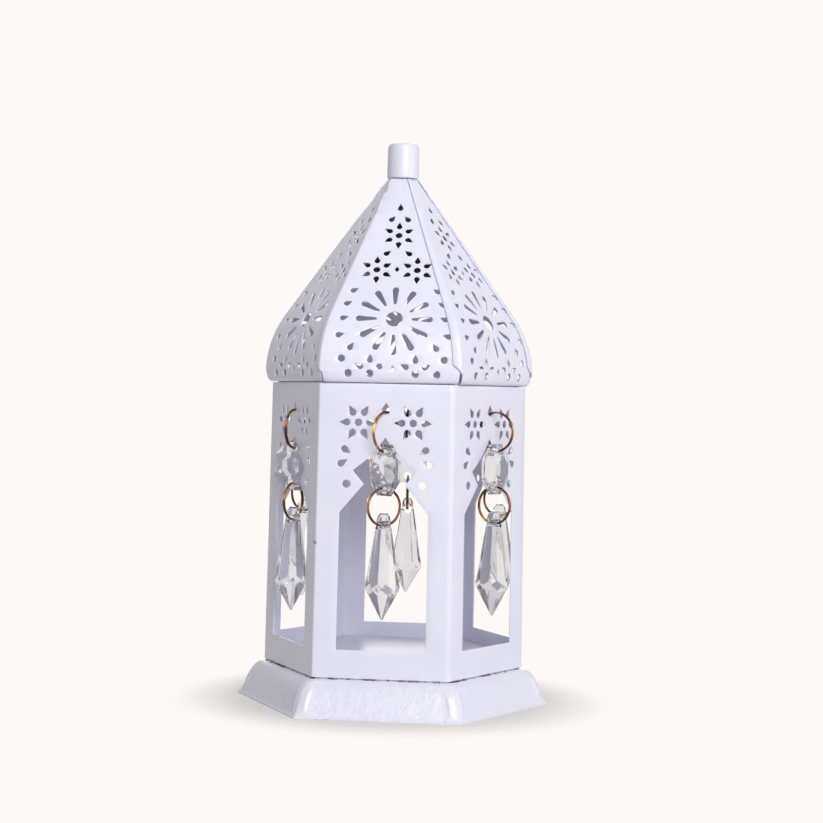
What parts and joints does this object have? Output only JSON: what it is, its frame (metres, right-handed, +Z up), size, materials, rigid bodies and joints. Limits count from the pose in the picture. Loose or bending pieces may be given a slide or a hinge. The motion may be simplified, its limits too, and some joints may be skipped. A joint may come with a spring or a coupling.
{
  "type": "lantern",
  "caption": "Hexagonal pierced-metal table lantern with a domed lift-off roof, arched windows, chains of cut-glass drops and a light unit inside the dome.",
  "frame": {"origin": "the middle of the base's lower edge, on the surface that the lantern stands on", "axes": "+Z up through the finial, -Y out through the front wall, +X to the right seen from the front"},
  "size_m": [0.1124, 0.0984, 0.1998],
  "materials": {
    "white_paint": "satin white paint over sheet iron",
    "plated_steel": "bright zinc or nickel plate",
    "ring_wire": "dark antique brass wire",
    "contact_brass": "plain brass strip",
    "cut_glass": "polished clear cut glass",
    "black_plastic": "fine matt moulding",
    "green_board": "coated circuit board",
    "clear_lens": "clear resin lens",
    "red_plastic": "glossy red moulding"
  },
  "bodies": {
    "lantern_body": {"base_tray": "white_paint", "wall_half_front": "white_paint", "wall_half_rear": "white_paint", "seam_strap_right": "white_paint", "seam_strap_left": "white_paint"},
    "roof": {"roof_petal_front": "white_paint", "roof_petal_front_right": "white_paint", "roof_petal_rear_right": "white_paint", "roof_petal_rear": "white_paint", "roof_petal_rear_left": "white_paint", "roof_petal_front_left": "white_paint", "roof_collar": "white_paint", "finial": "white_paint", "finial_stud": "plated_steel", "apex_washer": "plated_steel", "apex_nut": "plated_steel", "housing_outer_nut": "plated_steel", "housing_inner_nut": "plated_steel", "led_housing": "black_plastic", "upper_contact": "contact_brass", "coin_cell": "plated_steel", "lower_contact": "contact_brass", "led_board": "green_board", "led_lamp": "clear_lens"},
    "battery_cover": {"battery_cover": "black_plastic"},
    "switch_knob": {"switch_knob": "red_plastic"},
    "upper_ring_front": {"upper_ring_front": "ring_wire"},
    "octagon_bead_front": {"octagon_bead_front": "cut_glass"},
    "lower_ring_front": {"lower_ring_front": "ring_wire"},
    "glass_drop_front": {"glass_drop_front": "cut_glass"},
    "upper_ring_front_right": {"upper_ring_front_right": "ring_wire"},
    "octagon_bead_front_right": {"octagon_bead_front_right": "cut_glass"},
    "lower_ring_front_right": {"lower_ring_front_right": "ring_wire"},
    "glass_drop_front_right": {"glass_drop_front_right": "cut_glass"},
    "upper_ring_rear_right": {"upper_ring_rear_right": "ring_wire"},
    "octagon_bead_rear_right": {"octagon_bead_rear_right": "cut_glass"},
    "lower_ring_rear_right": {"lower_ring_rear_right": "ring_wire"},
    "glass_drop_rear_right": {"glass_drop_rear_right": "cut_glass"},
    "upper_ring_rear": {"upper_ring_rear": "ring_wire"},
    "octagon_bead_rear": {"octagon_bead_rear": "cut_glass"},
    "lower_ring_rear": {"lower_ring_rear": "ring_wire"},
    "glass_drop_rear": {"glass_drop_rear": "cut_glass"},
    "upper_ring_rear_left": {"upper_ring_rear_left": "ring_wire"},
    "octagon_bead_rear_left": {"octagon_bead_rear_left": "cut_glass"},
    "lower_ring_rear_left": {"lower_ring_rear_left": "ring_wire"},
    "glass_drop_rear_left": {"glass_drop_rear_left": "cut_glass"},
    "upper_ring_front_left": {"upper_ring_front_left": "ring_wire"},
    "octagon_bead_front_left": {"octagon_bead_front_left": "cut_glass"},
    "lower_ring_front_left": {"lower_ring_front_left": "ring_wire"},
    "glass_drop_front_left": {"glass_drop_front_left": "cut_glass"}
  },
  "joints": [
    {"name": "roof_lift", "type": "slide", "parent": "lantern_body", "child": "roof", "axis": [0, 0, 1], "range_m": [0, 0.06]},
    {"name": "battery_cover_pull", "type": "slide", "parent": "roof", "child": "battery_cover", "axis": [0, 0, -1], "range_m": [0, 0.01]},
    {"name": "switch_slide", "type": "slide", "parent": "roof", "child": "switch_knob", "axis": [0, 0, 1], "range_m": [0, 0.0025]},
    {"name": "upper_ring_turn_front", "type": "hinge", "parent": "lantern_body", "child": "upper_ring_front", "pos_m": [0, -0.03948, 0.1035], "axis": [0, 0, 1], "range_deg": [-14, 0]},
    {"name": "bead_turn_front", "type": "hinge", "parent": "upper_ring_front", "child": "octagon_bead_front", "pos_m": [0, -0.03948, 0.09675], "axis": [0, 0, 1], "range_deg": [-10, 0]},
    {"name": "lower_ring_swing_front", "type": "hinge", "parent": "octagon_bead_front", "child": "lower_ring_front", "pos_m": [0, -0.03948, 0.07777], "axis": [0.6561, 0.7547, 0], "range_deg": [-10, 10]},
    {"name": "drop_swing_front", "type": "hinge", "parent": "lower_ring_front", "child": "glass_drop_front", "pos_m": [0, -0.03948, 0.0713], "axis": [-0.6157, 0.788, 0], "range_deg": [-12, 12]},
    {"name": "upper_ring_swing_front_right", "type": "hinge", "parent": "lantern_body", "child": "upper_ring_front_right", "pos_m": [0.0342, -0.01974, 0.1035], "axis": [-0.5, -0.866, 0], "range_deg": [0, 12]},
    {"name": "bead_swing_front_right", "type": "hinge", "parent": "upper_ring_front_right", "child": "octagon_bead_front_right", "pos_m": [0.03657, -0.02111, 0.09733], "axis": [-0.5, -0.866, 0], "range_deg": [0, 25]},
    {"name": "lower_ring_swing_front_right", "type": "hinge", "parent": "octagon_bead_front_right", "child": "lower_ring_front_right", "pos_m": [0.03657, -0.02111, 0.07836], "axis": [-0.848, 0.5299, 0], "range_deg": [-12, 12]},
    {"name": "drop_swing_front_right", "type": "hinge", "parent": "lower_ring_front_right", "child": "glass_drop_front_right", "pos_m": [0.03657, -0.02111, 0.07189], "axis": [-0.5, -0.866, 0], "range_deg": [-15, 20]},
    {"name": "upper_ring_swing_rear_right", "type": "hinge", "parent": "lantern_body", "child": "upper_ring_rear_right", "pos_m": [0.0342, 0.01974, 0.1035], "axis": [0.5592, -0.829, 0], "range_deg": [0, 12]},
    {"name": "bead_swing_rear_right", "type": "hinge", "parent": "upper_ring_rear_right", "child": "octagon_bead_rear_right", "pos_m": [0.03656, 0.02134, 0.09738], "axis": [0.5592, -0.829, 0], "range_deg": [0, 25]},
    {"name": "lower_ring_swing_rear_right", "type": "hinge", "parent": "octagon_bead_rear_right", "child": "lower_ring_rear_right", "pos_m": [0.03656, 0.02134, 0.07841], "axis": [-0.848, -0.5299, 0], "range_deg": [-12, 12]},
    {"name": "drop_swing_rear_right", "type": "hinge", "parent": "lower_ring_rear_right", "child": "glass_drop_rear_right", "pos_m": [0.03656, 0.02134, 0.07193], "axis": [0.4695, -0.8829, 0], "range_deg": [-15, 20]},
    {"name": "upper_ring_swing_rear", "type": "hinge", "parent": "lantern_body", "child": "upper_ring_rear", "pos_m": [0, 0.03948, 0.1035], "axis": [0.9986, -0.0523, 0], "range_deg": [0, 6]},
    {"name": "bead_swing_rear", "type": "hinge", "parent": "upper_ring_rear", "child": "octagon_bead_rear", "pos_m": [0.00017, 0.04275, 0.0976], "axis": [0.9986, -0.0523, 0], "range_deg": [0, 25]},
    {"name": "lower_ring_swing_rear", "type": "hinge", "parent": "octagon_bead_rear", "child": "lower_ring_rear", "pos_m": [0.00017, 0.04275, 0.07862], "axis": [0.0175, -0.9998, 0], "range_deg": [-12, 12]},
    {"name": "drop_swing_rear", "type": "hinge", "parent": "lower_ring_rear", "child": "glass_drop_rear", "pos_m": [0.00017, 0.04275, 0.07215], "axis": [0.9962, 0.0872, 0], "range_deg": [-15, 20]},
    {"name": "upper_ring_swing_rear_left", "type": "hinge", "parent": "lantern_body", "child": "upper_ring_rear_left", "pos_m": [-0.0342, 0.01974, 0.1035], "axis": [0.454, 0.891, 0], "range_deg": [0, 12]},
    {"name": "bead_swing_rear_left", "type": "hinge", "parent": "upper_ring_rear_left", "child": "octagon_bead_rear_left", "pos_m": [-0.03674, 0.02104, 0.09738], "axis": [0.454, 0.891, 0], "range_deg": [0, 25]},
    {"name": "lower_ring_swing_rear_left", "type": "hinge", "parent": "octagon_bead_rear_left", "child": "lower_ring_rear_left", "pos_m": [-0.03674, 0.02104, 0.07841], "axis": [0.848, -0.5299, 0], "range_deg": [-12, 12]},
    {"name": "drop_swing_rear_left", "type": "hinge", "parent": "lower_ring_rear_left", "child": "glass_drop_rear_left", "pos_m": [-0.03674, 0.02104, 0.07193], "axis": [0.5878, 0.809, 0], "range_deg": [-15, 20]},
    {"name": "upper_ring_turn_front_left", "type": "hinge", "parent": "lantern_body", "child": "upper_ring_front_left", "pos_m": [-0.0342, -0.01974, 0.1035], "axis": [0, 0, 1], "range_deg": [-4, 8]},
    {"name": "bead_turn_front_left", "type": "hinge", "parent": "upper_ring_front_left", "child": "octagon_bead_front_left", "pos_m": [-0.0342, -0.01974, 0.09675], "axis": [0, 0, 1], "range_deg": [-4, 12]},
    {"name": "lower_ring_swing_front_left", "type": "hinge", "parent": "octagon_bead_front_left", "child": "lower_ring_front_left", "pos_m": [-0.0342, -0.01974, 0.07777], "axis": [0.2588, 0.9659, 0], "range_deg": [-10, 10]},
    {"name": "drop_swing_front_left", "type": "hinge", "parent": "lower_ring_front_left", "child": "glass_drop_front_left", "pos_m": [-0.0342, -0.01974, 0.0713], "axis": [-0.9272, 0.3746, 0], "range_deg": [-12, 12]}
  ]
}
